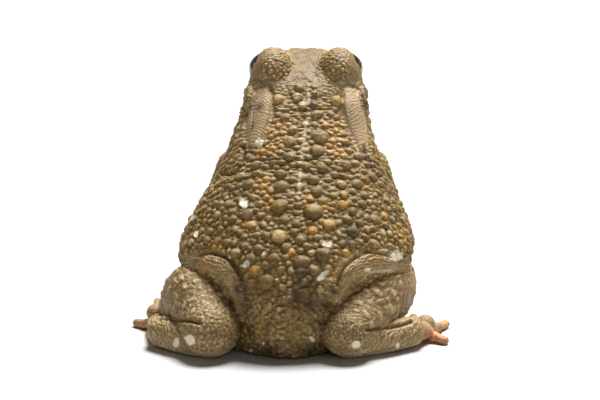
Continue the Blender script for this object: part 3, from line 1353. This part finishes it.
def skin_material():
    g = Graph("toad_skin")
    place = g.add("TexCoord", {}).outputs["Object"]
    share, tone, orange = g.masks("wart")
    fleck, black, pale = g.masks("mark")
    belly, tips, drum = g.masks("zone")
    olive, line, gland = g.masks("cast")
    broad = g.noise(place, 150, 3)
    fine = g.noise(place, 1500, 4, 0.65)
    grain = g.noise(place, 3800, 2)

    # Brown of the gaps, the slopes and the tops
    tops = g.mix(g.remap(tone, 0.0, 1.0), colour(0.2, 0.13, 0.056), colour(0.62, 0.45, 0.235))
    slope = g.mix(g.remap(share, 0.0, 0.6), colour(0.095, 0.058, 0.013), colour(0.26, 0.168, 0.058))
    brown = g.mix(g.remap(share, 0.35, 0.9), slope, tops)
    ochre = g.mix(share, colour(0.11, 0.06, 0.006), colour(0.38, 0.245, 0.062))
    brown = g.mix(g.remap(broad, 0.42, 0.7, 0.0, 0.6), brown, ochre)
    deep = g.mix(share, colour(0.56, 0.53, 0.34), colour(0.82, 0.77, 0.53))
    brown = g.mix(olive, brown, g.mix(1.0, brown, deep, "MULTIPLY"))
    rust = g.mix(share, colour(0.24, 0.12, 0.016), colour(0.58, 0.31, 0.062))
    skin = g.mix(g.times(orange, g.remap(fine, 0.3, 0.6, 0.5, 1.0)), brown, rust)
    light = g.mix(share, colour(0.2, 0.132, 0.056), colour(0.5, 0.365, 0.195))
    skin = g.mix(pale, skin, light)
    cushion = g.mix(share, colour(0.22, 0.145, 0.065), colour(0.7, 0.51, 0.3))
    skin = g.mix(g.times(gland, 0.8), skin, cushion)
    skin = g.mix(g.times(line, 0.85), skin, colour(0.66, 0.54, 0.36))
    skin = g.mix(g.times(black, 0.8), skin, colour(0.03, 0.018, 0.009))
    cream = g.mix(g.remap(share, 0.0, 0.6), colour(0.34, 0.26, 0.14), colour(0.68, 0.57, 0.37))
    stain = g.remap(g.noise(place, 210, 3), 0.5, 0.75, 0.0, 0.35)
    skin = g.mix(belly, skin, g.mix(stain, cream, colour(0.2, 0.14, 0.07)))
    skin = g.mix(g.times(tips, 0.92), skin, colour(0.71, 0.3, 0.14))
    skin = g.mix(g.times(drum, 0.85), skin, colour(0.26, 0.16, 0.07))
    speckle = g.times(g.remap(grain, 0.3, 0.7, 0.74, 1.26), g.remap(fine, 0.3, 0.7, 0.78, 1.22))
    skin = g.mix(1.0, skin, g.grey(speckle), "MULTIPLY")
    skin = g.mix(fleck, skin, g.mix(share, colour(0.8, 0.72, 0.55), colour(0.92, 0.85, 0.68)))
    rough = g.remap(fine, 0.3, 0.7, 0.34, 0.56)
    g.shade({"Base Color": skin, "Roughness": rough, "Specular IOR Level": 0.32})

    # Fine relief under the light
    bumped = g.add("Bump", {"Height": fine, "Strength": 0.6, "Distance": 0.0005})
    relief = {"Height": grain, "Strength": 0.3, "Distance": 0.00015, "Normal": bumped.outputs[0]}
    g.shade({"Normal": g.add("Bump", relief).outputs[0]})
    return g.material


def eye_object(side):
    """An eyeball that looks outward and a little ahead, with its masks for pupil and iris."""
    obj = ellipsoid("eyeball_" + name_of(side), (0, 0, 0), (EYE_RADIUS,) * 3, segments=96, rings=64)
    mesh = obj.data
    points = points_of(obj)
    gaze = np.array(head_point(GAZE[0], side * GAZE[1], GAZE[2]) - head_point(0, 0, 0))
    gaze /= np.linalg.norm(gaze)
    ahead = np.array(head_point(1, 0, 0) - head_point(0, 0, 0))
    ahead -= gaze * (ahead @ gaze)
    ahead /= np.linalg.norm(ahead)
    upward = np.cross(gaze, ahead)
    u, v, w = points @ ahead, points @ upward, points @ gaze
    angle = np.hypot(u, v)
    front = w > 0
    pupil = np.sqrt(((u - 0.5) / 2.3) ** 2 + (v / 1.3) ** 2)
    cornea = np.where(front, 0.35 * bump(angle, 0, 3.6), 0)
    lifted = points + points / EYE_RADIUS * cornea[:, None]
    centre = np.array(head_point(0, side * EYE_OUT, EYE_UP))
    mesh.vertices.foreach_set("co", ((lifted + centre) * MM).ravel())
    mask = np.where(front, 1 - ramp(pupil, 0.94, 1.04), 0)
    ring = np.where(front, bump(pupil, 1.12, 0.1), 0)
    iris = np.where(front, 1 - ramp(np.hypot(u - 0.5, v), 3.6, 4.0), 0)
    write_masks(mesh, "eye", mask, ring, iris)
    mesh.shade_smooth()
    mesh.update()
    return obj


def eye_material():
    g = Graph("toad_eye")
    place = g.add("TexCoord", {}).outputs["Object"]
    pupil, ring, iris = g.masks("eye")
    cells = g.add("TexVoronoi", {"Vector": place, "Scale": 2600.0}, feature="DISTANCE_TO_EDGE")
    flecks = g.noise(place, 1800, 3)
    veins = g.remap(cells.outputs["Distance"], 0.0, 0.12)
    bronze = g.mix(veins, colour(0.05, 0.022, 0.006), colour(0.46, 0.27, 0.07))
    bronze = g.mix(g.remap(flecks, 0.45, 0.62), colour(0.1, 0.045, 0.012), bronze)
    base = g.mix(iris, colour(0.014, 0.015, 0.018), bronze)
    base = g.mix(ring, base, colour(0.6, 0.4, 0.13))
    base = g.mix(pupil, base, colour(0.002, 0.002, 0.002))
    g.shade({"Base Color": base, "Roughness": 0.12, "Coat Weight": 1.0, "Coat Roughness": 0.03})
    return g.material


def floor_object():
    bm = bmesh.new()
    bmesh.ops.create_grid(bm, x_segments=1, y_segments=1, size=6.0)
    floor = linked("floor", bm)
    g = Graph("floor")
    place = g.add("TexCoord", {}).outputs["Object"]
    shade = g.remap(g.noise(place, 40, 2), 0.3, 0.7, 0.52, 0.54)
    g.shade({"Base Color": g.grey(shade), "Roughness": 0.9})
    floor.data.materials.append(g.material)


def lamp(name, kind, way, power, tint, **settings):
    """A light that shines along a way."""
    data = bpy.data.lights.new(name, kind)
    data.energy = power
    data.color = tint
    for key, value in settings.items():
        setattr(data, key, value)
    obj = bpy.data.objects.new(name, data)
    bpy.context.scene.collection.objects.link(obj)
    obj.location = -Vector(way)
    obj.rotation_euler = Vector(way).to_track_quat("-Z", "Y").to_euler()


def studio():
    """Soft light from above, a pale surround, and the camera that took the picture."""
    world = bpy.data.worlds.new("surround")
    bpy.context.scene.world = world
    world.use_nodes = True
    background = world.node_tree.nodes["Background"]
    background.inputs["Color"].default_value = (1.0, 0.96, 0.89, 1.0)
    background.inputs["Strength"].default_value = 0.1
    bpy.context.scene.view_settings.view_transform = "Standard"
    lamp("overhead", "SUN", (-0.18, -0.43, -1.0), 7.6, (1.0, 0.985, 0.955), angle=math.radians(26))
    lamp("fill", "AREA", (-0.3, 0.75, -0.5), 0.4, (1.0, 0.97, 0.93), shape="DISK", size=0.5)

    camera_data = bpy.data.cameras.new("camera")
    camera_data.sensor_width = 36
    camera_data.lens = FOCAL / PICTURE[0] * camera_data.sensor_width
    camera_data.clip_start = 0.01
    camera_data.clip_end = 30
    camera = bpy.data.objects.new("camera", camera_data)
    bpy.context.scene.collection.objects.link(camera)
    camera.location = (CAMERA_AT + SHIFT) * MM
    camera.rotation_euler = AHEAD.to_track_quat("-Z", "Y").to_euler()
    bpy.context.scene.camera = camera


def design_shift():
    """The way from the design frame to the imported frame."""
    low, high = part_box("eye_right")
    return (Vector(low) + Vector(high)) / 2 / MM - head_point(0, EYE_OUT, EYE_UP)


SHIFT = design_shift()


def settle(obj, material, slot, *nodes):
    """Moves a finished piece onto the frame, and says what it stands for."""
    obj.data.transform(Matrix.Translation(SHIFT * MM))
    obj.data.materials.clear()
    obj.data.materials.append(material)
    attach(obj, "root")
    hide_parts(*nodes)


def main():
    skin = skin_object()
    flesh = [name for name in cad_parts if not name.startswith("eye_")]
    settle(skin, skin_material(), "skin", *flesh)
    shine = eye_material()
    for side in (1, -1):
        settle(eye_object(side), shine, "eye", "eye_" + name_of(side))
    floor_object()
    studio()


main()
